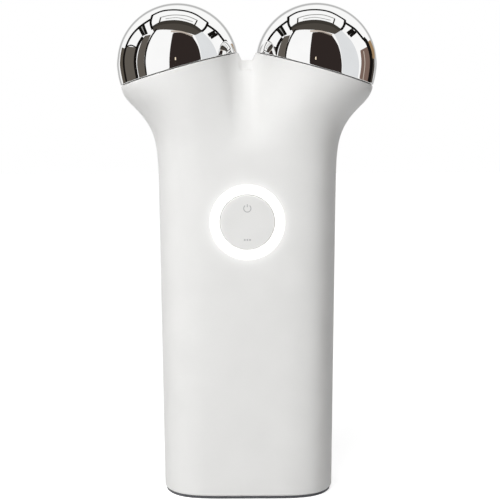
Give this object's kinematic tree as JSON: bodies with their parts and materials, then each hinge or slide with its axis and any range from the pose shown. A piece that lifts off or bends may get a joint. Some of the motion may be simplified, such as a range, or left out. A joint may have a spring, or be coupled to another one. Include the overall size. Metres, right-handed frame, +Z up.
{
  "type": "facial toning device",
  "caption": "Y-shaped hand-held facial toning device with chrome sphere electrodes, a lit ring round its power button, and a flat base to stand on.",
  "frame": {"origin": "centre of the footprint, on the underside of the foot pad", "axes": "+Z up from the base to the spheres, +X to the right as seen from the front, -Y out of the front face that carries the power button"},
  "size_m": [0.063, 0.0296, 0.1182],
  "materials": {
    "shell_plastic": "moulded, fine satin",
    "cap_plastic": "moulded, satin",
    "foot_rubber": "soft, matt",
    "sphere_chrome": "mirror polish",
    "plug_steel": "turned",
    "seat_plastic": "moulded",
    "seal_rubber": "matt",
    "fastener_steel": "plated",
    "terminal_brass": "stamped",
    "lead_blue": "extruded",
    "lead_red": "extruded",
    "lead_black": "extruded",
    "ring_light": "lit light guide",
    "button_plastic": "moulded, fine satin",
    "switch_black": "moulded",
    "plunger_plastic": "moulded",
    "board_green": "solder mask",
    "led_lens": "clear potting",
    "chip_black": "moulded",
    "coil_ferrite": "sintered",
    "buzzer_black": "moulded",
    "cell_foil": "foil pouch",
    "pad_foam": "foam tape",
    "frame_plastic": "moulded",
    "screw_steel": "black plated"
  },
  "bodies": {
    "handle": {"front_shell": "shell_plastic", "rear_shell": "shell_plastic", "base_cap": "cap_plastic", "foot_pad": "foot_rubber", "left_sphere": "sphere_chrome", "right_sphere": "sphere_chrome", "left_sphere_plug": "plug_steel", "right_sphere_plug": "plug_steel", "left_seat": "seat_plastic", "right_seat": "seat_plastic", "left_seal": "seal_rubber", "right_seal": "seal_rubber", "left_washer": "fastener_steel", "right_washer": "fastener_steel", "left_terminal": "terminal_brass", "right_terminal": "terminal_brass", "left_nut": "fastener_steel", "right_nut": "fastener_steel", "left_lead": "lead_blue", "right_lead": "lead_red", "light_ring": "ring_light", "switch_body": "switch_black", "main_board": "board_green", "ring_leds": "led_lens", "control_chips": "chip_black", "boost_coil": "coil_ferrite", "buzzer": "buzzer_black", "battery_cell": "cell_foil", "battery_pad": "pad_foam", "battery_lead_plus": "lead_red", "battery_lead_minus": "lead_black", "inner_frame": "frame_plastic", "usb_shell": "fastener_steel", "usb_tongue": "chip_black", "frame_screws": "screw_steel", "board_screws": "screw_steel", "base_screws": "screw_steel"},
    "button": {"power_button": "button_plastic"},
    "plunger": {"switch_plunger": "plunger_plastic"}
  },
  "joints": [
    {"name": "button_press", "type": "slide", "parent": "handle", "child": "button", "axis": [0, 1, 0], "range_m": [0, 0.0003], "stiffness_N_per_m": 2000},
    {"name": "plunger_press", "type": "slide", "parent": "handle", "child": "plunger", "axis": [0, 1, 0], "range_m": [0, 0.0003]}
  ],
  "couplings": [
    {"joint": "plunger_press", "follows": "button_press", "ratio": 1}
  ]
}
